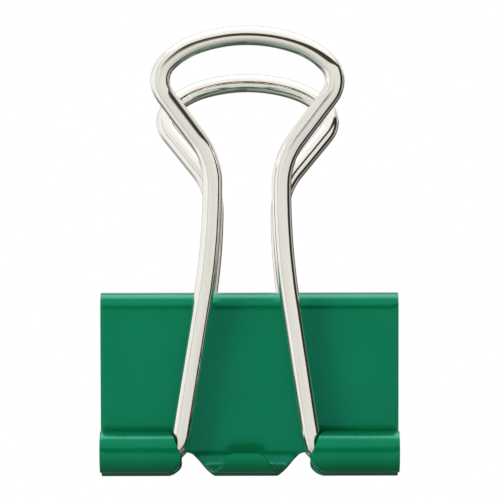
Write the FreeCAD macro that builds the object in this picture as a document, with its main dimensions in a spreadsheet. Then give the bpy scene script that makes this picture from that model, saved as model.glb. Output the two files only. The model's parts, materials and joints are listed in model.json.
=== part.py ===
"""Binder clip: a folded spring-steel body and two bent wire handles.

Units are millimetres. +Z is up, the spine runs along X, and the origin is on the plane that the
two rolled lips stand on, midway between them. The front of the clip faces -Y.

The real body is one folded sheet. Here it is a spine and two jaws that hinge at the ends of the
spine's bends, where the real sheet flexes, so that the mouth can open.
"""
import FreeCAD, Part

import math
import os
import re

import Sketcher

Vector = FreeCAD.Vector
Rotation = FreeCAD.Rotation
Placement = FreeCAD.Placement

# Every driving dimension: alias, value in millimetres or degrees, meaning.
DIMENSIONS = [
    ("clip_width", 25.0, "length of the spine and of both lips"),
    ("sheet_thickness", 0.25, "spring-steel sheet"),
    ("wall_length", 11.74, "flat part of a wall, from lip roll to spine bend"),
    ("wall_lean", 13.0, "degrees each wall leans out from the mid-plane"),
    ("bend_radius", 1.35, "outer radius of the spine's bends"),
    ("roll_radius", 1.74, "outer radius of the rolled lips"),
    ("roll_end", 50.0, "degrees above horizontal at which the roll's edge stops"),
    ("lip_gap", 0.02, "gap between the closed lips"),
    ("hinge_gap", 0.08, "clearance between a jaw and the spine"),
    ("punch_offset", 0.31, "how far off the sheet's centre the notches are punched"),
    ("curl_start", 6.6, "punch centre to the inner end of a rolled curl"),
    ("notch_top_half", 4.5, "punch centre to the notch's inner edge, at its top"),
    ("notch_base_half", 3.0, "punch centre to the notch's inner edge, under the lip"),
    ("tongue_base_half", 2.34, "half-width of the turned-up tongue at the bottom"),
    ("tongue_top_half", 1.18, "half-width of the tongue's free end"),
    ("wire_radius", 0.81, "handle wire"),
    ("handle_height", 34.77, "foot axis to the wire's centre at the eye's top"),
    ("handle_lean", 0.35, "degrees the handle leans along the spine in its curls"),
    ("handle_tilt", 14.2, "degrees the raised handle leans out from the mid-plane"),
    ("eye_top_radius", 12.48, "wide arc over the top of the eye"),
    ("eye_top_turn", 19.35, "degrees of that arc, each side"),
    ("eye_shoulder_radius", 6.58, "arc between the eye's top and its corner"),
    ("eye_shoulder_turn", 25.6, "degrees of that arc"),
    ("eye_corner_radius", 2.1, "tight corner at the eye's widest place"),
    ("slant_angle", 36.9, "degrees the eye's sides lean in towards the neck"),
    ("slant_length", 4.42, "straight part of the eye's sides"),
    ("neck_radius", 6.4, "bend between the eye and the legs"),
    ("leg_radius", 61.0, "gentle curve at the top of the legs"),
    ("leg_splay", 8.94, "degrees the legs spread towards the feet"),
    ("foot_radius", 1.6, "bend from leg to foot"),
    ("foot_length", 2.6, "straight foot inside the curl"),
]
size = {alias: value for alias, value, meaning in DIMENSIONS}

# Where a spine bend's centre is: its distance from the mid-plane, and its height.
BEND_DEPTH = (
    "lip_gap / 2 + roll_radius + wall_length * sin(wall_lean * 1deg)"
    " - (roll_radius - sheet_thickness + bend_radius) * cos(wall_lean * 1deg)"
)
BEND_HEIGHT = (
    "roll_radius + wall_length * cos(wall_lean * 1deg)"
    " + (roll_radius - sheet_thickness + bend_radius) * sin(wall_lean * 1deg)"
)
ROLL_DEPTH = "lip_gap / 2 + roll_radius"

document = FreeCAD.newDocument("BinderClip")


def make_dimension_sheet():
    sheet = document.addObject("Spreadsheet::Sheet", "Dimensions")
    for row, (alias, value, meaning) in enumerate(DIMENSIONS, start=1):
        sheet.set(f"A{row}", alias)
        sheet.set(f"B{row}", str(value))
        sheet.set(f"C{row}", meaning)
        sheet.setAlias(f"B{row}", alias)
    document.recompute()


def bind(target, path, formula):
    """Bind a property to a formula in the sheet's aliases, each of which holds an underscore."""
    target.setExpression(path, re.sub(r"\b([a-z]+(?:_[a-z]+)+)\b", r"Dimensions.\1", formula))


def origin_plane(body, role):
    return next(item for item in body.Origin.OriginFeatures if item.Role == role)


def add_sketch(body, name, role, offset=None):
    """A sketch on one of the body's own planes, moved along the plane's normal by a formula."""
    sketch = body.newObject("Sketcher::SketchObject", name)
    sketch.AttachmentSupport = (origin_plane(body, role), [""])
    sketch.MapMode = "FlatFace"
    if offset:
        bind(sketch, "AttachmentOffset.Base.z", offset)
    return sketch


def fix(sketch, name, formula, *constraint):
    """Add a named constraint whose value follows a formula."""
    index = sketch.addConstraint(Sketcher.Constraint(*constraint))
    sketch.renameConstraint(index, name)
    bind(sketch, "Constraints." + name, formula)


def tie(sketch, *constraint):
    sketch.addConstraint(Sketcher.Constraint(*constraint))


def add_polygon(sketch, label, corners):
    """A closed outline whose corners are pairs of formulas, for x and y."""
    count = len(corners)
    turns = [2 * math.pi * index / count for index in range(count)]
    points = [Vector(math.cos(turn), math.sin(turn), 0) for turn in turns]
    first = sketch.GeometryCount
    for index in range(count):
        sketch.addGeometry(Part.LineSegment(points[index], points[(index + 1) % count]))
    for index, (across, up) in enumerate(corners):
        line = first + index
        tie(sketch, "Coincident", line, 2, first + (index + 1) % count, 1)
        fix(sketch, f"{label}_x{index}", across, "DistanceX", -1, 1, line, 1, points[index].x)
        fix(sketch, f"{label}_y{index}", up, "DistanceY", -1, 1, line, 1, points[index].y)


def add_ring_arcs(sketch, centre, radius, start, end, depth, height):
    """Two concentric arcs a sheet's thickness apart. Returns the outer and the inner one."""
    arcs = []
    for reach in (radius, radius - size["sheet_thickness"]):
        circle = Part.Circle(centre, Vector(0, 0, 1), reach)
        arcs.append(sketch.addGeometry(Part.ArcOfCircle(circle, start, end)))
    outer, inner = arcs
    tie(sketch, "Coincident", outer, 3, inner, 3)
    fix(sketch, f"depth{outer}", depth, "DistanceX", -1, 1, outer, 3, centre.x)
    fix(sketch, f"height{outer}", height, "DistanceY", -1, 1, outer, 3, centre.y)
    return outer, inner


def add_cap(sketch, outer, outer_end, inner, inner_end, start, end):
    """The short straight edge that closes two concentric arcs at one end."""
    cap = sketch.addGeometry(Part.LineSegment(start, end))
    tie(sketch, "Coincident", outer, outer_end, cap, 1)
    tie(sketch, "Coincident", inner, inner_end, cap, 2)
    return cap


def polar(centre, radius, angle):
    return centre + Vector(math.cos(angle), math.sin(angle), 0) * radius


def roll_centre():
    depth = size["lip_gap"] / 2 + size["roll_radius"]
    return Vector(-depth, size["roll_radius"], 0)


def draw_wall_section(body):
    """Wall, lip and turned-up front edge, seen along the spine: x is depth and y is height."""
    sketch = add_sketch(body, "WallSection", "YZ_Plane")
    lean = math.radians(size["wall_lean"])
    centre = roll_centre()
    radius = size["roll_radius"]
    inner_radius = radius - size["sheet_thickness"]
    rise = Vector(-math.sin(lean), math.cos(lean), 0) * size["wall_length"]
    outer, inner = add_ring_arcs(
        sketch, centre, radius, math.pi, 2 * math.pi + lean, f"-({ROLL_DEPTH})", "roll_radius"
    )
    fix(sketch, "roll_outer", "roll_radius", "Radius", outer, radius)
    fix(sketch, "roll_inner", "roll_radius - sheet_thickness", "Radius", inner, inner_radius)
    mouth_base = polar(centre, radius, lean)
    outside_base = polar(centre, inner_radius, lean)
    mouth_face = sketch.addGeometry(Part.LineSegment(mouth_base, mouth_base + rise))
    outside_face = sketch.addGeometry(Part.LineSegment(outside_base, outside_base + rise))
    tie(sketch, "Tangent", outer, 2, mouth_face, 1)
    tie(sketch, "Tangent", inner, 2, outside_face, 1)
    tie(sketch, "Parallel", mouth_face, outside_face)
    fix(sketch, "lean", "90deg + wall_lean * 1deg", "Angle", mouth_face, math.pi / 2 + lean)
    fix(sketch, "flat", "wall_length - hinge_gap", "Distance", mouth_face, size["wall_length"])
    top = sketch.addGeometry(Part.LineSegment(mouth_base + rise, outside_base + rise))
    tie(sketch, "Coincident", mouth_face, 2, top, 1)
    tie(sketch, "Coincident", outside_face, 2, top, 2)
    tie(sketch, "Perpendicular", top, mouth_face)
    edge_outer = polar(centre, radius, math.pi)
    edge_inner = polar(centre, inner_radius, math.pi)
    edge = add_cap(sketch, outer, 1, inner, 1, edge_outer, edge_inner)
    tie(sketch, "Horizontal", edge)
    fix(sketch, "edge_height", "roll_radius", "DistanceY", -1, 1, edge, 1, centre.y)
    return sketch


def draw_curl_section(body, name, offset):
    """The rest of a rolled curl: over its top and down to its edge beside the wall."""
    sketch = add_sketch(body, name, "YZ_Plane", offset)
    centre = roll_centre()
    radius = size["roll_radius"]
    inner_radius = radius - size["sheet_thickness"]
    end = math.radians(size["roll_end"])
    outer, inner = add_ring_arcs(
        sketch, centre, radius, end, math.pi, f"-({ROLL_DEPTH})", "roll_radius"
    )
    fix(sketch, "roll_outer", "roll_radius", "Radius", outer, radius)
    fix(sketch, "roll_inner", "roll_radius - sheet_thickness", "Radius", inner, inner_radius)
    front = add_cap(
        sketch, outer, 2, inner, 2, polar(centre, radius, math.pi), polar(centre, inner_radius, math.pi)
    )
    tie(sketch, "Horizontal", front)
    fix(sketch, "front_height", "roll_radius", "DistanceY", -1, 1, front, 1, centre.y)
    edge = add_cap(sketch, outer, 1, inner, 1, polar(centre, radius, end), polar(centre, inner_radius, end))
    tie(sketch, "PointOnObject", outer, 3, edge)
    fix(sketch, "edge_angle", "roll_end * 1deg - 180deg", "Angle", edge, end - math.pi)
    return sketch


def add_pad(body, name, sketch, length, symmetric=False):
    pad = body.newObject("PartDesign::Pad", name)
    pad.Profile = sketch
    bind(pad, "Length", length)
    if symmetric:
        pad.SideType = "Symmetric"
    return pad


def add_pocket(body, name, sketch, length, reverse):
    pocket = body.newObject("PartDesign::Pocket", name)
    pocket.Profile = sketch
    bind(pocket, "Length", length)
    pocket.Reversed = reverse
    return pocket


def make_jaw(label, facing):
    """One wall with its rolled lip. facing is 1 for the front jaw and -1 for the back one.

    The back jaw is built like the front one and turned half way round about Z, so its notches
    are offset the other way in its own frame.
    """
    body = document.addObject("PartDesign::Body", label)
    body.Label = label
    shift = f"({-facing} * punch_offset)"
    add_pad(body, "Wall", draw_wall_section(body), "clip_width", symmetric=True)
    right_start = f"{shift} + curl_start"
    right_curl = draw_curl_section(body, "RightCurlSection", right_start)
    add_pad(body, "RightCurl", right_curl, f"clip_width / 2 - ({right_start})")
    left_curl = draw_curl_section(body, "LeftCurlSection", "-clip_width / 2")
    add_pad(body, "LeftCurl", left_curl, f"clip_width / 2 + {shift} - curl_start")
    document.recompute()
    solid_volume = body.Shape.Volume

    # The notches are cut from the front: first through the lip, then beside the tongue.
    behind = add_sketch(body, "LipNotches", "XZ_Plane", ROLL_DEPTH)
    ahead = add_sketch(body, "TongueOutline", "XZ_Plane", ROLL_DEPTH)
    for side, name in ((-1, "left"), (1, "right")):
        add_polygon(behind, name, [
            (f"{shift} + {side} * notch_top_half", "roll_radius"),
            (f"{shift} + {side} * curl_start", "roll_radius"),
            (f"{shift} + {side} * curl_start", "-roll_radius"),
            (f"{shift} + {side} * notch_base_half", "-roll_radius"),
            (f"{shift} + {side} * notch_base_half", "0 mm"),
        ])
        add_polygon(ahead, name, [
            (f"{shift} + {side} * tongue_top_half", "2 * roll_radius"),
            (f"{shift} + {side} * curl_start", "2 * roll_radius"),
            (f"{shift} + {side} * curl_start", "-roll_radius"),
            (f"{shift} + {side} * tongue_base_half", "-roll_radius"),
            (f"{shift} + {side} * tongue_base_half", "0 mm"),
            (f"{shift} + {side} * tongue_top_half", "roll_radius"),
        ])
    add_pocket(body, "NotchesInLip", behind, ROLL_DEPTH, reverse=False)
    add_pocket(body, "NotchesBesideTongue", ahead, ROLL_DEPTH, reverse=True)
    document.recompute()
    assert body.Shape.Volume < solid_volume - 1.0, "the notches cut nothing"
    body.Placement = Placement(Vector(), Rotation(Vector(0, 0, 1), 0 if facing > 0 else 180))
    return body


def draw_spine_section(body):
    """The flat top with a bend at each side, seen along the spine."""
    sketch = add_sketch(body, "SpineSection", "YZ_Plane")
    lean = math.radians(size["wall_lean"])
    reach = size["roll_radius"] - size["sheet_thickness"] + size["bend_radius"]
    depth = size["lip_gap"] / 2 + size["roll_radius"]
    depth += size["wall_length"] * math.sin(lean) - reach * math.cos(lean)
    height = size["roll_radius"] + size["wall_length"] * math.cos(lean) + reach * math.sin(lean)
    radius = size["bend_radius"]
    inner_radius = radius - size["sheet_thickness"]
    bends = []
    for side, start, end in ((-1, math.pi / 2, math.pi + lean), (1, -lean, math.pi / 2)):
        centre = Vector(side * depth, height, 0)
        outer, inner = add_ring_arcs(
            sketch, centre, radius, start, end, f"{side} * ({BEND_DEPTH})", BEND_HEIGHT
        )
        fix(sketch, f"bend_outer{outer}", "bend_radius", "Radius", outer, radius)
        fix(sketch, f"bend_inner{inner}", "bend_radius - sheet_thickness", "Radius", inner, inner_radius)
        free_end = 2 if side < 0 else 1
        angle = end if side < 0 else start
        cap = add_cap(
            sketch, outer, free_end, inner, free_end, polar(centre, radius, angle),
            polar(centre, inner_radius, angle)
        )
        tie(sketch, "PointOnObject", outer, 3, cap)
        if side < 0:
            fix(sketch, "front_cap", "wall_lean * 1deg", "Angle", cap, lean)
        else:
            fix(sketch, "back_cap", "180deg - wall_lean * 1deg", "Angle", cap, math.pi - lean)
        bends.append((outer, inner))
    for layer, reach in ((0, radius), (1, inner_radius)):
        start = Vector(-depth, height + reach, 0)
        end = Vector(depth, height + reach, 0)
        top = sketch.addGeometry(Part.LineSegment(start, end))
        tie(sketch, "Tangent", bends[0][layer], 1, top, 1)
        tie(sketch, "Tangent", bends[1][layer], 2, top, 2)
    return sketch


def make_spine():
    body = document.addObject("PartDesign::Body", "spine")
    body.Label = "spine"
    add_pad(body, "SpineSheet", draw_spine_section(body), "clip_width", symmetric=True)
    body.Placement = Placement()
    return body


def draw_handle_path(body):
    """Centre line of the right half of a handle, from the eye's top down to the foot's end.

    Each step is a bend, as its radius, the degrees that it turns and the way it turns (1 for
    clockwise), or a straight, as its length.
    """
    sketch = add_sketch(body, "WirePath", "XZ_Plane")
    corner_turn = "90 + slant_angle - eye_top_turn - eye_shoulder_turn"
    corner_degrees = 90 + size["slant_angle"] - size["eye_top_turn"] - size["eye_shoulder_turn"]
    bends = {
        "eye_top": ("eye_top_radius", "eye_top_turn", size["eye_top_turn"], 1),
        "eye_shoulder": ("eye_shoulder_radius", "eye_shoulder_turn", size["eye_shoulder_turn"], 1),
        "eye_corner": ("eye_corner_radius", corner_turn, corner_degrees, 1),
        "neck": ("neck_radius", "slant_angle", size["slant_angle"], -1),
        "leg_curve": ("leg_radius", "leg_splay", size["leg_splay"], -1),
        "ankle": ("foot_radius", "90 - leg_splay", 90 - size["leg_splay"], -1),
    }
    straights = {"slant": "slant_length", "leg": None, "foot": "foot_length"}
    order = ["eye_top", "eye_shoulder", "eye_corner", "slant", "neck", "leg_curve", "leg", "ankle", "foot"]
    point = Vector(0, size["handle_height"], 0)
    heading = 0.0
    previous = None
    for name in order:
        if name in straights:
            if straights[name]:
                length = size[straights[name]]
            else:
                splay = math.radians(size["leg_splay"])
                drop = size["foot_radius"] * (1 - math.sin(splay))
                length = (point.y - drop) / math.cos(splay)
            following = point + Vector(math.cos(heading), math.sin(heading), 0) * length
            step = sketch.addGeometry(Part.LineSegment(point, following))
            entry, leave = 1, 2
            if straights[name]:
                fix(sketch, name + "_run", straights[name], "Distance", step, length)
        else:
            radius_name, turn_formula, degrees, way = bends[name]
            radius = size[radius_name]
            turn = math.radians(degrees)
            centre = point + Vector(math.sin(heading), -math.cos(heading), 0) * radius * way
            from_angle = heading + way * math.pi / 2
            to_angle = from_angle - way * turn
            circle = Part.Circle(centre, Vector(0, 0, 1), radius)
            lowest, highest = sorted((from_angle, to_angle))
            step = sketch.addGeometry(Part.ArcOfCircle(circle, lowest, highest))
            entry, leave = (2, 1) if way > 0 else (1, 2)
            fix(sketch, name + "_bend", radius_name, "Radius", step, radius)
            fix(sketch, name + "_turn", f"({turn_formula}) * 1deg", "Angle", step, turn)
            following = polar(centre, radius, to_angle)
            heading -= way * turn
        if previous:
            tie(sketch, "Tangent", *previous, step, entry)
        else:
            tie(sketch, "PointOnObject", step, entry, -2)
            tie(sketch, "PointOnObject", step, 3, -2)
            fix(sketch, "height", "handle_height", "DistanceY", -1, 1, step, entry, point.y)
        previous = (step, leave)
        point = following
    tie(sketch, "PointOnObject", previous[0], 2, -1)
    return sketch


def make_handle(label, facing):
    """One wire handle, raised against its wall. facing is 1 for the front and -1 for the back."""
    body = document.addObject("PartDesign::Body", label)
    body.Label = label
    path = draw_handle_path(body)
    section = add_sketch(body, "WireSection", "YZ_Plane")
    circle = Part.Circle(Vector(0, size["handle_height"], 0), Vector(0, 0, 1), size["wire_radius"])
    section.addGeometry(circle)
    tie(section, "PointOnObject", 0, 3, -2)
    fix(section, "height", "handle_height", "DistanceY", -1, 1, 0, 3, size["handle_height"])
    fix(section, "wire", "wire_radius", "Radius", 0, size["wire_radius"])
    document.recompute()
    wire = body.newObject("PartDesign::AdditivePipe", "RightHalf")
    wire.Profile = section
    wire.Spine = path
    document.recompute()
    mirrored = body.newObject("PartDesign::Mirrored", "BothHalves")
    mirrored.Originals = [wire]
    mirrored.MirrorPlane = (origin_plane(body, "YZ_Plane"), [""])
    body.Tip = mirrored
    document.recompute()
    expected = 2 * path.Shape.Length * math.pi * size["wire_radius"] ** 2
    assert abs(body.Shape.Volume / expected - 1) < 0.01, "the wire's volume is wrong"
    lean = Rotation(Vector(0, 1, 0), facing * size["handle_lean"])
    tilt = Rotation(Vector(1, 0, 0), size["handle_tilt"])
    foot_axis = Vector(-facing * size["punch_offset"], roll_centre().x, roll_centre().y)
    turn = Placement(Vector(), Rotation(Vector(0, 0, 1), 0 if facing > 0 else 180))
    body.Placement = turn * Placement(foot_axis, tilt * lean)
    return body


def write_parts(bodies):
    for item in document.Objects:
        failed = [state for state in item.State if state in ("Invalid", "Error")]
        assert not failed, f"{item.Name} failed: {failed}"
    os.makedirs("parts", exist_ok=True)
    for body in bodies:
        shape = body.Shape
        assert not shape.isNull() and shape.isValid(), f"{body.Label} has no valid shape"
        assert len(shape.Solids) == 1, f"{body.Label} isn't one solid"
        shape.exportStep(f"parts/{body.Label}.step")
        box = shape.BoundBox
        print(
            f"{body.Label}: {shape.Volume:.2f} mm3,"
            f" x {box.XMin:.2f} to {box.XMax:.2f},"
            f" y {box.YMin:.2f} to {box.YMax:.2f},"
            f" z {box.ZMin:.2f} to {box.ZMax:.2f}"
        )


make_dimension_sheet()
pieces = [
    make_spine(),
    make_jaw("front_jaw", 1),
    make_jaw("back_jaw", -1),
    make_handle("front_handle", 1),
    make_handle("back_handle", -1),
]
document.recompute()
write_parts(pieces)
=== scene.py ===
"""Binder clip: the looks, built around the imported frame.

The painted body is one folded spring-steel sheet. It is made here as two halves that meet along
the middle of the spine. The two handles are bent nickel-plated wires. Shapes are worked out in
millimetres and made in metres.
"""
import json
import math

import bmesh
import bpy
from mathutils import Matrix, Vector


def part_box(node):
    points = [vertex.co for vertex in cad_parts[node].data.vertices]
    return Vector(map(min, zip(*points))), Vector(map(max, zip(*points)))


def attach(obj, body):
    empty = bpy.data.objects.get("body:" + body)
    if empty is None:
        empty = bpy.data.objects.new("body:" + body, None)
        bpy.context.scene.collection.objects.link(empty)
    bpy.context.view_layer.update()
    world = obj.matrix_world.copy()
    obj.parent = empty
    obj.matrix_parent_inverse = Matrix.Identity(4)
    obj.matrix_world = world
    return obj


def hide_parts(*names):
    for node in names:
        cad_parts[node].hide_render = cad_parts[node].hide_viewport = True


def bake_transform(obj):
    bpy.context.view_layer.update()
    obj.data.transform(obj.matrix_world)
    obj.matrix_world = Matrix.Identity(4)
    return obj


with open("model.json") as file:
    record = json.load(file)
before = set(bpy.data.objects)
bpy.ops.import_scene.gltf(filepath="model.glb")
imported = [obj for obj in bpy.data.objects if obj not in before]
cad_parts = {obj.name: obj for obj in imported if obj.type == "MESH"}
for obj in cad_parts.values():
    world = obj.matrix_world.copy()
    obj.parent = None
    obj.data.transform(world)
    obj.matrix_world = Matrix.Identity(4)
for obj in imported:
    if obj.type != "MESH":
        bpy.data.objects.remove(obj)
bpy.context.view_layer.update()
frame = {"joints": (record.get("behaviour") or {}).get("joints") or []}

MM = 0.001

# The painted sheet. Here and below, lengths are in millimetres and bare angles in degrees.
SHEET_THICKNESS = 0.25
WALL_LEAN = math.radians(13.0)
BEND_RADIUS = 1.35
ROLL_END = math.radians(310.0)
PUNCH_OFFSET = 0.31
EDGE_ROUNDING = 0.07

# The notches' outlines: pairs of how far round the lip's roll, from the mouth, and how far out from
# the punch's centre. Each curl's inner end comes to a point at the front of the roll.
NOTCH_START = -4.5
NOTCH_START_HALF = 4.98
NOTCH_ROUNDING = 6.0
TONGUE_OUTLINE = [
    (NOTCH_START, 4.72), (5, 4.38), (22, 3.9), (46, 3.38), (65, 2.98), (85, 2.7), (112, 2.32),
    (153, 1.67), (171, 1.3),
]
CURL_OUTLINE = [
    (NOTCH_START, 5.3), (20, 5.42), (33, 5.57), (48, 5.86), (64, 6.25), (80, 6.5), (98, 6.48),
    (127, 5.9), (145, 5.54), (160, 5.44), (173, 5.5), (188, 5.7), (242, 6.3), (262, 6.56), (310, 6.6),
]
TONGUE_CORNER = 0.35
ANGLE_TOLERANCE = 0.01

# The sheet's mesh: rows over the top, the bend, the wall and round the roll, and columns along it.
# The spacings are powers that crowd the rows at the roll's start and the columns at the notches.
TOP_ROWS = 6
BEND_ROWS = 18
WALL_ROWS = 30
MOUTH_ROWS = 3
ROLL_ROWS = 96
ROLL_SPACING = 1.12
CURL_COLUMNS = 20
CURL_SPACING = 1.35
TONGUE_COLUMNS = 18
SEAM_TOLERANCE = 0.01
SHEET_SHARP_ANGLE = math.radians(50)

# The handle's wire, from the eye's top down to the foot. Pairs are a bend's radius and angle.
WIRE_RADIUS = 0.81
HANDLE_HEIGHT = 34.77
HANDLE_LEAN = math.radians(0.35)
HANDLE_TILT = math.radians(14.2)
EYE_TOP = (12.48, 19.35)
EYE_SHOULDER = (6.58, 25.6)
EYE_CORNER_RADIUS = 2.1
SLANT_ANGLE = 36.9
SLANT_LENGTH = 4.42
NECK_RADIUS = 6.4
LEG_CURVE = (61.0, 8.94)
FOOT_RADIUS = 1.6
FOOT_LENGTH = 2.6

# The wire's mesh.
WIRE_SIDES = 48
WIRE_SPACING = 0.35
END_RIM = 0.22
END_DOME = 0.12
WIRE_SHARP_ANGLE = math.radians(60)

# The camera looks up at the clip from a little below it, from in front. The lens goes with the
# distance, so that the clip keeps its size in the frame.
CAMERA_DISTANCE = 292.0
CAMERA_RISE = math.radians(8.3)
CAMERA_ROLL = math.radians(0.12)
CAMERA_TARGET = Vector((0.06, -1.5, 18.82))
CAMERA_LENS = 0.85334 * CAMERA_DISTANCE

# The lights stand round a point inside the clip. The floor fades out between the two distances.
CLIP_MIDDLE = 12.0
LIGHT_DISTANCE = 320.0
FLOOR_RADIUS = 1200.0
FLOOR_FADE = (120.0, 400.0)

# The dark arch across the front of the studio that the wire mirrors, in degrees of elevation. Its
# width is divided by 1 + ARCH_NARROWING * azimuth, so it narrows to the right.
ARCH_TOP = 26.0
ARCH_CLIMB_RATE = 1.385
ARCH_HALF_WIDTH = 13.0
ARCH_SOFTNESS = 4.0
ARCH_NARROWING = 0.013

JOINTS = {joint["name"]: joint for joint in frame["joints"]}
HINGE = Vector(JOINTS["front_jaw_open"]["pos_m"]) / MM
FOOT_AXIS = Vector(JOINTS["front_handle_flip"]["pos_m"]) / MM
HALF_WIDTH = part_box("spine")[1].x / MM
SPINE_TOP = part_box("spine")[1].z / MM

# The roll's radius to the middle of the sheet. The roll stands on height 0, so its axis is as high
# as its outer radius.
ROLL_REACH = FOOT_AXIS.z - SHEET_THICKNESS / 2


# ---------------------------------------------------------------- meshes

def mesh_object(name, mesh):
    piece = bpy.data.objects.new(name, mesh)
    bpy.context.scene.collection.objects.link(piece)
    return piece


def along(outline, at):
    """The value at a position on a smooth curve through an outline's (position, value) pairs."""
    if at <= outline[0][0]:
        return outline[0][1]
    if at >= outline[-1][0]:
        return outline[-1][1]
    span = next(index for index in range(len(outline) - 1) if at <= outline[index + 1][0])
    (low, first), (high, second) = outline[span:span + 2]
    slopes = []
    for index in (span, span + 1):
        before = outline[max(index - 1, 0)]
        after = outline[min(index + 1, len(outline) - 1)]
        slopes.append((after[1] - before[1]) / (after[0] - before[0]) * (high - low))
    part = (at - low) / (high - low)
    ease = part * part * (3 - 2 * part)
    bulge = part * (1 - part) * (slopes[0] * (1 - part) - slopes[1] * part)
    return first + (second - first) * ease + bulge


def sheet_rows():
    """Points of the front half's mid-surface across its fold, from the spine's middle to the edge.

    Each row is (depth, height, roll angle in degrees); rows above the roll have None.
    """
    middle = SHEET_THICKNESS / 2
    bend_reach = BEND_RADIUS - middle
    bend_depth = HINGE.y + bend_reach * math.cos(WALL_LEAN)
    bend_height = HINGE.z + bend_reach * math.sin(WALL_LEAN)
    rows = []
    for step in range(TOP_ROWS):
        rows.append((bend_depth * step / TOP_ROWS, SPINE_TOP - middle, None))
    for step in range(BEND_ROWS):
        turn = math.radians(90) + (math.radians(90) + WALL_LEAN) * step / BEND_ROWS
        depth = bend_depth + bend_reach * math.cos(turn)
        rows.append((depth, bend_height + bend_reach * math.sin(turn), None))
    lip_depth = FOOT_AXIS.y + ROLL_REACH * math.cos(WALL_LEAN)
    lip_height = FOOT_AXIS.z + ROLL_REACH * math.sin(WALL_LEAN)
    for step in range(WALL_ROWS):
        depth = HINGE.y + (lip_depth - HINGE.y) * step / WALL_ROWS
        rows.append((depth, HINGE.z + (lip_height - HINGE.z) * step / WALL_ROWS, None))
    first = -math.degrees(WALL_LEAN)
    last = math.degrees(ROLL_END)
    angles = [first + (NOTCH_START - first) * step / MOUTH_ROWS for step in range(MOUTH_ROWS)]
    for step in range(ROLL_ROWS + 1):
        angles.append(NOTCH_START + (last - NOTCH_START) * (step / ROLL_ROWS) ** ROLL_SPACING)
    for angle in angles:
        turn = math.radians(angle)
        depth = FOOT_AXIS.y + ROLL_REACH * math.cos(turn)
        rows.append((depth, FOOT_AXIS.z - ROLL_REACH * math.sin(turn), angle))
    return rows


def notch_edges(angle):
    """Half-widths of the tongue and of the gap between the curls, at an angle round the roll."""
    if angle is None or angle <= NOTCH_START:
        return NOTCH_START_HALF, NOTCH_START_HALF
    opening = min((angle - NOTCH_START) / NOTCH_ROUNDING, 1)
    rounding = math.sqrt(1 - (1 - opening) ** 2)
    tongue = NOTCH_START_HALF + (along(TONGUE_OUTLINE, angle) - NOTCH_START_HALF) * rounding
    curl = NOTCH_START_HALF + (along(CURL_OUTLINE, angle) - NOTCH_START_HALF) * rounding
    last = TONGUE_OUTLINE[-1][0]
    left = math.radians(last - angle) * ROLL_REACH
    if 0 <= left < TONGUE_CORNER:
        tongue -= TONGUE_CORNER - math.sqrt(TONGUE_CORNER ** 2 - (TONGUE_CORNER - left) ** 2)
    return tongue, curl


def spaced(start, end, columns, power=1):
    """Places from start to end, crowded towards the end where power is over 1."""
    parts = [1 - (1 - column / columns) ** power for column in range(columns + 1)]
    return [start + (end - start) * part for part in parts]


def add_row(grid, places, depth, height):
    return [grid.verts.new(Vector((x, depth, height)) * MM) for x in places]


def make_sheet_half(name, facing):
    """Half the folded sheet. facing is 1 for the front half and -1 for the back one.

    A row of its mesh is three strips: left curl, tongue and right curl. Above the notches they
    share the points where they meet, and past the tongue's end there is no middle strip.
    """
    grid = bmesh.new()
    previous = None
    for depth, height, angle in sheet_rows():
        depth *= facing
        tongue, curl = notch_edges(angle)
        places = spaced(-HALF_WIDTH, -PUNCH_OFFSET - curl, CURL_COLUMNS, CURL_SPACING)
        left = add_row(grid, places, depth, height)
        places = spaced(HALF_WIDTH, -PUNCH_OFFSET + curl, CURL_COLUMNS, CURL_SPACING)
        right = add_row(grid, places, depth, height)
        places = spaced(-PUNCH_OFFSET - tongue, -PUNCH_OFFSET + tongue, TONGUE_COLUMNS)
        if angle is None or angle <= NOTCH_START + ANGLE_TOLERANCE:
            middle = [left[-1], *add_row(grid, places[1:-1], depth, height), right[-1]]
        elif angle <= TONGUE_OUTLINE[-1][0] + ANGLE_TOLERANCE:
            middle = add_row(grid, places, depth, height)
        else:
            middle = None
        row = (left, middle, right)
        for upper, lower in zip(previous or (), row):
            if upper and lower:
                for column in range(len(upper) - 1):
                    grid.faces.new([
                        upper[column], upper[column + 1], lower[column + 1], lower[column],
                    ])
        previous = row
    bmesh.ops.recalc_face_normals(grid, faces=grid.faces)
    mesh = bpy.data.meshes.new(name)
    grid.to_mesh(mesh)
    grid.free()
    piece = mesh_object(name, mesh)
    thicken = piece.modifiers.new("thickness", "SOLIDIFY")
    thicken.thickness = SHEET_THICKNESS * MM
    thicken.offset = 0
    thicken.use_even_offset = True
    thicken.use_quality_normals = True
    apply_modifiers(piece)
    round_edges(piece)
    return piece


def apply_modifiers(piece):
    """Put the modifiers' result in place of the piece's own mesh."""
    shape = piece.evaluated_get(bpy.context.evaluated_depsgraph_get())
    finished = bpy.data.meshes.new_from_object(shape)
    piece.modifiers.clear()
    piece.data = finished


def round_edges(piece):
    """Round the sheet's cut edges, all but the seam where the two halves meet."""
    shape = bmesh.new()
    shape.from_mesh(piece.data)
    cut_edges = []
    for edge in shape.edges:
        on_seam = all(abs(vertex.co.y) < SEAM_TOLERANCE * MM for vertex in edge.verts)
        if on_seam or len(edge.link_faces) != 2:
            continue
        if edge.calc_face_angle() > SHEET_SHARP_ANGLE:
            cut_edges.append(edge)
    bmesh.ops.bevel(
        shape, geom=cut_edges, offset=EDGE_ROUNDING * MM, segments=2, profile=0.5, affect="EDGES",
        clamp_overlap=True,
    )
    shape.to_mesh(piece.data)
    shape.free()
    piece.data.shade_smooth()
    piece.data.set_sharp_from_angle(angle=SHEET_SHARP_ANGLE)


def beside(heading):
    """The direction to the right of a heading in the handle's plane."""
    return Vector((math.sin(heading), -math.cos(heading)))


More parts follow.
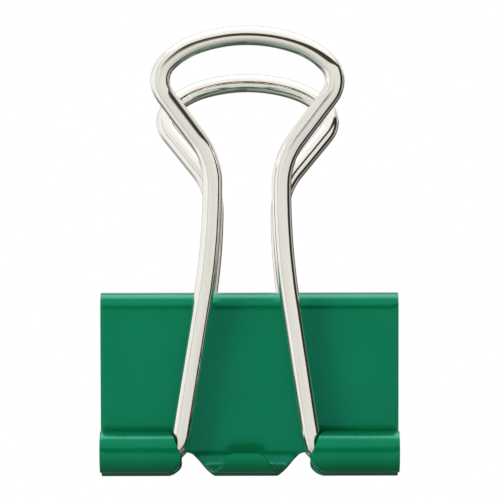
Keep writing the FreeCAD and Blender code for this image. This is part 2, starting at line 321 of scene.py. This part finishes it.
def handle_path():
    """Centre line of the right half of a handle, as (point, heading) from the eye's top down.

    A bend is (radius, degrees, way), with way 1 to the right and -1 to the left, and a straight is
    its length. The leg's straight, None here, is as long as it takes to reach the foot's bend.
    """
    corner_turn = 90 + SLANT_ANGLE - EYE_TOP[1] - EYE_SHOULDER[1]
    stretches = [
        (*EYE_TOP, 1), (*EYE_SHOULDER, 1), (EYE_CORNER_RADIUS, corner_turn, 1), SLANT_LENGTH,
        (NECK_RADIUS, SLANT_ANGLE, -1), (*LEG_CURVE, -1), None,
        (FOOT_RADIUS, 90 - LEG_CURVE[1], -1), FOOT_LENGTH,
    ]
    point = Vector((0, HANDLE_HEIGHT))
    heading = 0.0
    path = [(point, heading)]
    for stretch in stretches:
        if isinstance(stretch, tuple):
            radius, degrees, way = stretch
            turn = math.radians(degrees)
            count = round(radius * turn / WIRE_SPACING)
            centre = point + beside(heading) * radius * way
            for step in range(1, count + 1):
                angle = heading - way * turn * step / count
                path.append((centre - beside(angle) * radius * way, angle))
            heading -= way * turn
        else:
            length = stretch
            if length is None:
                splay = math.radians(LEG_CURVE[1])
                length = (point.y - FOOT_RADIUS * (1 - math.sin(splay))) / math.cos(splay)
            count = round(length / WIRE_SPACING)
            ahead = Vector((math.cos(heading), math.sin(heading)))
            for step in range(1, count + 1):
                path.append((point + ahead * length * step / count, heading))
        point = path[-1][0]
    return path


def make_handle(name, facing):
    """One bent wire, as a round tube with slightly domed ends. facing is 1 for the front."""
    right = handle_path()
    left = [(Vector((-point.x, point.y)), -heading) for point, heading in reversed(right)]
    tube = bmesh.new()
    layer = tube.loops.layers.uv.new("wire")
    rings = []
    distances = []
    travelled = 0.0
    before = left[0][0]
    for point, heading in left + right[1:]:
        travelled += (point - before).length
        distances.append(travelled)
        before = point
        outward = Vector((-math.sin(heading), 0, math.cos(heading)))
        ring = []
        for step in range(WIRE_SIDES):
            turn = 2 * math.pi * step / WIRE_SIDES
            offset = outward * math.cos(turn) + Vector((0, -1, 0)) * math.sin(turn)
            ring.append(tube.verts.new(Vector((point.x, 0, point.y)) + offset * WIRE_RADIUS))
        rings.append(ring)
    for row in range(len(rings) - 1):
        for step in range(WIRE_SIDES):
            following = (step + 1) % WIRE_SIDES
            face = tube.faces.new([
                rings[row][step], rings[row][following],
                rings[row + 1][following], rings[row + 1][step],
            ])
            columns = (step, step + 1, step + 1, step)
            lengths = (distances[row], distances[row], distances[row + 1], distances[row + 1])
            for loop, column, length in zip(face.loops, columns, lengths):
                loop[layer].uv = (column / WIRE_SIDES, length)
    for ring in (rings[0], rings[-1]):
        cap = tube.faces.new(ring)
        bmesh.ops.inset_region(tube, faces=[cap], thickness=END_RIM, depth=END_DOME)
    bmesh.ops.recalc_face_normals(tube, faces=tube.faces)
    lean = Matrix.Rotation(facing * HANDLE_LEAN, 4, "Y")
    tilt = Matrix.Rotation(HANDLE_TILT, 4, "X")
    place = Matrix.Translation((-facing * PUNCH_OFFSET, FOOT_AXIS.y, FOOT_AXIS.z))
    turn_round = Matrix.Rotation(0 if facing > 0 else math.pi, 4, "Z")
    whole = Matrix.Scale(MM, 4) @ turn_round @ place @ tilt @ lean
    bmesh.ops.transform(tube, matrix=whole, verts=tube.verts)
    mesh = bpy.data.meshes.new(name)
    tube.to_mesh(mesh)
    tube.free()
    mesh.shade_smooth()
    mesh.set_sharp_from_angle(angle=WIRE_SHARP_ANGLE)
    return mesh_object(name, mesh)


# ---------------------------------------------------------------- materials

class Nodes:
    """Short helpers for building one node tree."""

    def __init__(self, tree):
        self.tree = tree
        tree.nodes.clear()

    def add(self, kind, inputs=None, **settings):
        node = self.tree.nodes.new(kind)
        for name, value in settings.items():
            setattr(node, name, value)
        for socket, value in (inputs or {}).items():
            if isinstance(value, bpy.types.NodeSocket):
                self.tree.links.new(value, node.inputs[socket])
            else:
                node.inputs[socket].default_value = value
        return node

    def math(self, operation, *values):
        return self.add("ShaderNodeMath", dict(enumerate(values)), operation=operation).outputs[0]

    def stretch(self, vector, scales):
        """A vector with each part multiplied by its own scale."""
        node = self.add("ShaderNodeVectorMath", {0: vector, 1: scales}, operation="MULTIPLY")
        return node.outputs[0]

    def ramp(self, value, stops):
        node = self.add("ShaderNodeValToRGB", {"Fac": value})
        elements = node.color_ramp.elements
        while len(elements) < len(stops):
            elements.new(0.5)
        for element, (position, colour) in zip(elements, stops):
            element.position = position
            element.color = (*colour, 1)
        return node.outputs["Color"]

    def noise(self, vector, scale, detail=2.0, roughness=0.5):
        return self.add("ShaderNodeTexNoise", {
            "Vector": vector, "Scale": scale, "Detail": detail, "Roughness": roughness,
        }).outputs["Fac"]

    def between(self, value, low, high):
        """A value from 0 to 1 as one from low to high."""
        node = self.add("ShaderNodeMapRange", {"Value": value, "To Min": low, "To Max": high})
        return node.outputs[0]

    def step(self, value, low, high):
        """From 0 at low to 1 at high, eased. low may be the larger."""
        node = self.add("ShaderNodeMapRange", {
            "Value": value, "From Min": low, "From Max": high,
        }, interpolation_type="SMOOTHSTEP")
        return node.outputs[0]

    def near(self, value, centre, reach, soft):
        """1 within reach of the centre, and eased to 0 over soft beyond it."""
        off = self.math("ABSOLUTE", self.math("SUBTRACT", value, centre))
        return self.step(off, reach + soft, reach)

    def both(self, *masks):
        """1 where every mask is."""
        result = masks[0]
        for mask in masks[1:]:
            result = self.math("MULTIPLY", result, mask)
        return result

    def cover(self, below, mask, colour):
        """A colour laid over another where the mask is 1."""
        node = self.add("ShaderNodeMix", {0: mask, 6: below, 7: (*colour, 1)}, data_type="RGBA")
        return node.outputs[2]


def new_material(name):
    material = bpy.data.materials.new(name)
    material.use_nodes = True
    return material, Nodes(material.node_tree)


def make_paint():
    """Glossy stoved enamel on steel: a slightly uneven green, faintly rippled, with fine grit.

    Its reflections are strong and tinted green, so that a pale room doesn't wash the colour out.
    """
    material, nodes = new_material("green_enamel")
    metres = nodes.add("ShaderNodeTexCoord").outputs["Object"]
    place = nodes.stretch(metres, (1 / MM, 1 / MM, 1 / MM))
    clouds = nodes.noise(place, scale=0.22, detail=3)
    peel = nodes.noise(place, scale=2.6, detail=2)
    grit = nodes.noise(place, scale=14.0, detail=3)
    colour = nodes.ramp(clouds, [(0.3, (0.0006, 0.083, 0.0290)), (0.7, (0.0010, 0.095, 0.0330))])
    ripple = nodes.add("ShaderNodeBump", {"Strength": 0.05, "Distance": 0.0003, "Height": peel})
    fine = nodes.add("ShaderNodeBump", {
        "Strength": 0.04, "Distance": 0.00006, "Height": grit, "Normal": ripple.outputs[0],
    })
    shader = nodes.add("ShaderNodeBsdfPrincipled", {
        "Base Color": colour, "Roughness": nodes.between(grit, 0.15, 0.23),
        "Normal": fine.outputs[0],
        "Specular IOR Level": 1.0, "Specular Tint": (0.08, 0.96, 0.74, 1),
    })
    nodes.add("ShaderNodeOutputMaterial", {"Surface": shader.outputs[0]})
    return material


def make_nickel():
    """Bright nickel plate over drawn wire, with fine lines along its length."""
    material, nodes = new_material("nickel_plate")
    place = nodes.add("ShaderNodeUVMap", uv_map="wire").outputs[0]
    lines = nodes.noise(nodes.stretch(place, (90, 0.35, 1)), scale=1.0, detail=3, roughness=0.6)
    streaks = nodes.noise(nodes.stretch(place, (9, 0.12, 1)), scale=1.0, detail=2)
    colour = nodes.ramp(streaks, [(0.3, (0.86, 0.835, 0.79)), (0.7, (0.92, 0.90, 0.86))])
    drawn = nodes.add("ShaderNodeBump", {"Strength": 0.10, "Distance": 0.00002, "Height": lines})
    shader = nodes.add("ShaderNodeBsdfPrincipled", {
        "Base Color": colour, "Metallic": 1.0, "Roughness": nodes.between(lines, 0.03, 0.10),
        "Normal": drawn.outputs[0],
    })
    nodes.add("ShaderNodeOutputMaterial", {"Surface": shader.outputs[0]})
    return material


def make_floor_material():
    """A pale matt floor that fades out far away and isn't seen from underneath."""
    material, nodes = new_material("pale_floor")
    place = nodes.add("ShaderNodeTexCoord").outputs["Object"]
    mottle = nodes.noise(place, scale=60.0, detail=3)
    colour = nodes.ramp(mottle, [(0.3, (0.84, 0.84, 0.835)), (0.7, (0.86, 0.86, 0.855))])
    matt = nodes.add("ShaderNodeBsdfDiffuse", {"Color": colour})
    clear = nodes.add("ShaderNodeBsdfTransparent")
    below = nodes.add("ShaderNodeNewGeometry").outputs["Backfacing"]
    distance = nodes.add("ShaderNodeVectorMath", {0: place}, operation="LENGTH").outputs["Value"]
    far = nodes.step(distance, FLOOR_FADE[0] * MM, FLOOR_FADE[1] * MM)
    unseen = nodes.math("MAXIMUM", below, far)
    either = nodes.add("ShaderNodeMixShader", {0: unseen, 1: matt.outputs[0], 2: clear.outputs[0]})
    nodes.add("ShaderNodeOutputMaterial", {"Surface": either.outputs[0]})
    return material


# ---------------------------------------------------------------- studio

def make_camera():
    camera = bpy.data.objects.new("camera", bpy.data.cameras.new("camera"))
    bpy.context.scene.collection.objects.link(camera)
    ahead = Vector((0, math.cos(CAMERA_RISE), math.sin(CAMERA_RISE)))
    level_up = Vector((0, -math.sin(CAMERA_RISE), math.cos(CAMERA_RISE)))
    right = Vector((1, 0, 0)) * math.cos(CAMERA_ROLL) - level_up * math.sin(CAMERA_ROLL)
    up = Vector((1, 0, 0)) * math.sin(CAMERA_ROLL) + level_up * math.cos(CAMERA_ROLL)
    turn = Matrix((right, up, -ahead)).transposed()
    place = (CAMERA_TARGET - ahead * CAMERA_DISTANCE) * MM
    camera.matrix_world = Matrix.Translation(place) @ turn.to_4x4()
    camera.data.lens = CAMERA_LENS
    camera.data.sensor_width = 36
    camera.data.clip_start = 0.01
    camera.data.clip_end = 10
    bpy.context.scene.camera = camera


def arch_mask(nodes, facing, azimuth, elevation):
    """The dark arch across the studio's front, level on the left and climbing to the right.

    facing is the azimuth in radians.
    """
    rightward = nodes.math("MAXIMUM", facing, 0.0)
    climb = nodes.math("SINE", nodes.math("MULTIPLY", rightward, ARCH_CLIMB_RATE))
    off_arch = nodes.math("SUBTRACT", elevation, nodes.math("MULTIPLY", climb, ARCH_TOP))
    taper = nodes.math("MULTIPLY_ADD", azimuth, ARCH_NARROWING, 1.0)
    off_arch = nodes.math("MULTIPLY", off_arch, taper)
    band = nodes.near(off_arch, 0, ARCH_HALF_WIDTH, ARCH_SOFTNESS)
    upper_left = nodes.both(nodes.step(elevation, -9, -3), nodes.step(azimuth, -30, -16))
    left_end = nodes.math("MAXIMUM", nodes.step(azimuth, -14, 0), upper_left)
    return nodes.both(band, left_end, nodes.step(azimuth, 92, 84))


def make_world():
    """The studio: plain white to the camera, and to the clip a room that the bright wire mirrors.

    Angles are in degrees, with azimuth 0 to the front and 90 to the right; depth is how far a
    direction points behind the clip. The room is white to the left and above, pale in front and
    darker further down. It is grey to dark on the far right and behind, with a pale panel high up
    at the back, and a dark arch crosses its front.
    """
    world = bpy.data.worlds.new("studio")
    bpy.context.scene.world = world
    world.use_nodes = True
    nodes = Nodes(world.node_tree)
    step, near, both = nodes.step, nodes.near, nodes.both
    way = nodes.add("ShaderNodeTexCoord").outputs["Generated"]
    side, depth, height = nodes.add("ShaderNodeSeparateXYZ", {0: way}).outputs
    facing = nodes.math("ARCTAN2", side, nodes.math("MULTIPLY", depth, -1.0))
    azimuth = nodes.math("DEGREES", facing)
    elevation = nodes.math("DEGREES", nodes.math("ARCSINE", height))
    low = step(elevation, 45, 25)

    left_panel = both(step(azimuth, -54, -62), step(elevation, -50, -30))
    left_seam = both(near(azimuth, -53, 1.5, 2), low)
    right_panel = both(step(azimuth, 90, 96), step(azimuth, 168, 150), low)
    right_corner = both(step(azimuth, 126, 131), low)
    back_wall = both(step(depth, 0.80, 0.95), low)
    back_floor = both(step(depth, 0.1, 0.6), step(elevation, 0, -25))
    back_panel = both(step(depth, 0.35, 0.6), near(elevation, 38, 20, 8))
    arch = arch_mask(nodes, facing, azimuth, elevation)
    right_flank = both(near(azimuth, 88, 15, 4), step(elevation, 34, 26))

    # The room's own greys, from straight down to straight up, and then each area in turn.
    light = nodes.ramp(nodes.math("MULTIPLY_ADD", elevation, 1 / 180, 0.5), [
        (0.0, (0.20, 0.20, 0.19)), (0.17, (0.50, 0.50, 0.48)), (0.28, (0.74, 0.735, 0.71)),
        (0.42, (0.86, 0.855, 0.82)), (0.60, (0.90, 0.885, 0.845)), (0.75, (1.05, 1.05, 1.03)),
    ])
    for mask, colour in (
        (left_panel, (0.98, 0.98, 0.97)),
        (left_seam, (0.42, 0.42, 0.40)),
        (right_panel, (0.50, 0.49, 0.47)),
        (right_corner, (0.09, 0.085, 0.08)),
        (back_wall, (0.20, 0.195, 0.185)),
        (back_floor, (0.10, 0.098, 0.09)),
        (back_panel, (0.80, 0.79, 0.77)),
        (arch, (0.060, 0.044, 0.030)),
        (right_flank, (0.03, 0.025, 0.02)),
    ):
        light = nodes.cover(light, mask, colour)
    lit = nodes.add("ShaderNodeBackground", {"Color": light, "Strength": 1.0})
    white = nodes.add("ShaderNodeBackground", {"Color": (1, 1, 1, 1), "Strength": 1.0})
    direct = nodes.add("ShaderNodeLightPath").outputs["Is Camera Ray"]
    either = nodes.add("ShaderNodeMixShader", {0: direct, 1: lit.outputs[0], 2: white.outputs[0]})
    nodes.add("ShaderNodeOutputWorld", {"Surface": either.outputs[0]})


def add_light(name, azimuth, elevation, size, power, in_reflections=False):
    """A soft light aimed at the clip. Angles are in degrees, the size in millimetres."""
    light = bpy.data.lights.new(name, "AREA")
    light.shape = "RECTANGLE"
    light.size, light.size_y = size[0] * MM, size[1] * MM
    light.energy = power
    lamp = bpy.data.objects.new(name, light)
    bpy.context.scene.collection.objects.link(lamp)
    azimuth, elevation = math.radians(azimuth), math.radians(elevation)
    across = math.cos(elevation)
    outward = Vector((
        math.sin(azimuth) * across, -math.cos(azimuth) * across, math.sin(elevation),
    ))
    lamp.location = (Vector((0, 0, CLIP_MIDDLE)) + outward * LIGHT_DISTANCE) * MM
    lamp.rotation_euler = (-outward).to_track_quat("-Z", "Y").to_euler()
    lamp.visible_camera = False
    lamp.visible_glossy = in_reflections


def make_floor():
    """A round floor that shows the clip's shadow. It isn't mirrored and throws no light or shadow."""
    mesh = bpy.data.meshes.new("floor")
    plane = bmesh.new()
    bmesh.ops.create_circle(plane, cap_ends=True, segments=96, radius=FLOOR_RADIUS * MM)
    bmesh.ops.recalc_face_normals(plane, faces=plane.faces)
    plane.to_mesh(mesh)
    plane.free()
    floor = mesh_object("floor", mesh)
    floor.data.materials.append(make_floor_material())
    floor.visible_diffuse = False
    floor.visible_glossy = False
    floor.visible_shadow = False


# ---------------------------------------------------------------- the clip

def place_sheet(piece, body, facing, finish, *nodes):
    piece.data.materials.append(finish)
    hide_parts(*nodes)
    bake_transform(piece)


def place_handle(piece, body, finish):
    piece.data.materials.append(finish)
    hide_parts(body)
    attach(piece, body)


make_camera()
bpy.context.scene.view_settings.view_transform = "Standard"
paint = make_paint()
nickel = make_nickel()
place_sheet(make_sheet_half("front_sheet", 1), "front_jaw", 1, paint, "spine", "front_jaw")
place_sheet(make_sheet_half("back_sheet", -1), "back_jaw", -1, paint, "back_jaw")
place_handle(make_handle("front_wire", 1), "front_handle", nickel)
place_handle(make_handle("back_wire", -1), "back_handle", nickel)
make_floor()
make_world()
add_light("key", azimuth=-48, elevation=8, size=(130, 130), power=0.92)
add_light("strip", azimuth=-4, elevation=-12, size=(420, 50), power=0.34)
add_light("overhead", azimuth=0, elevation=92, size=(500, 230), power=0.8, in_reflections=True)
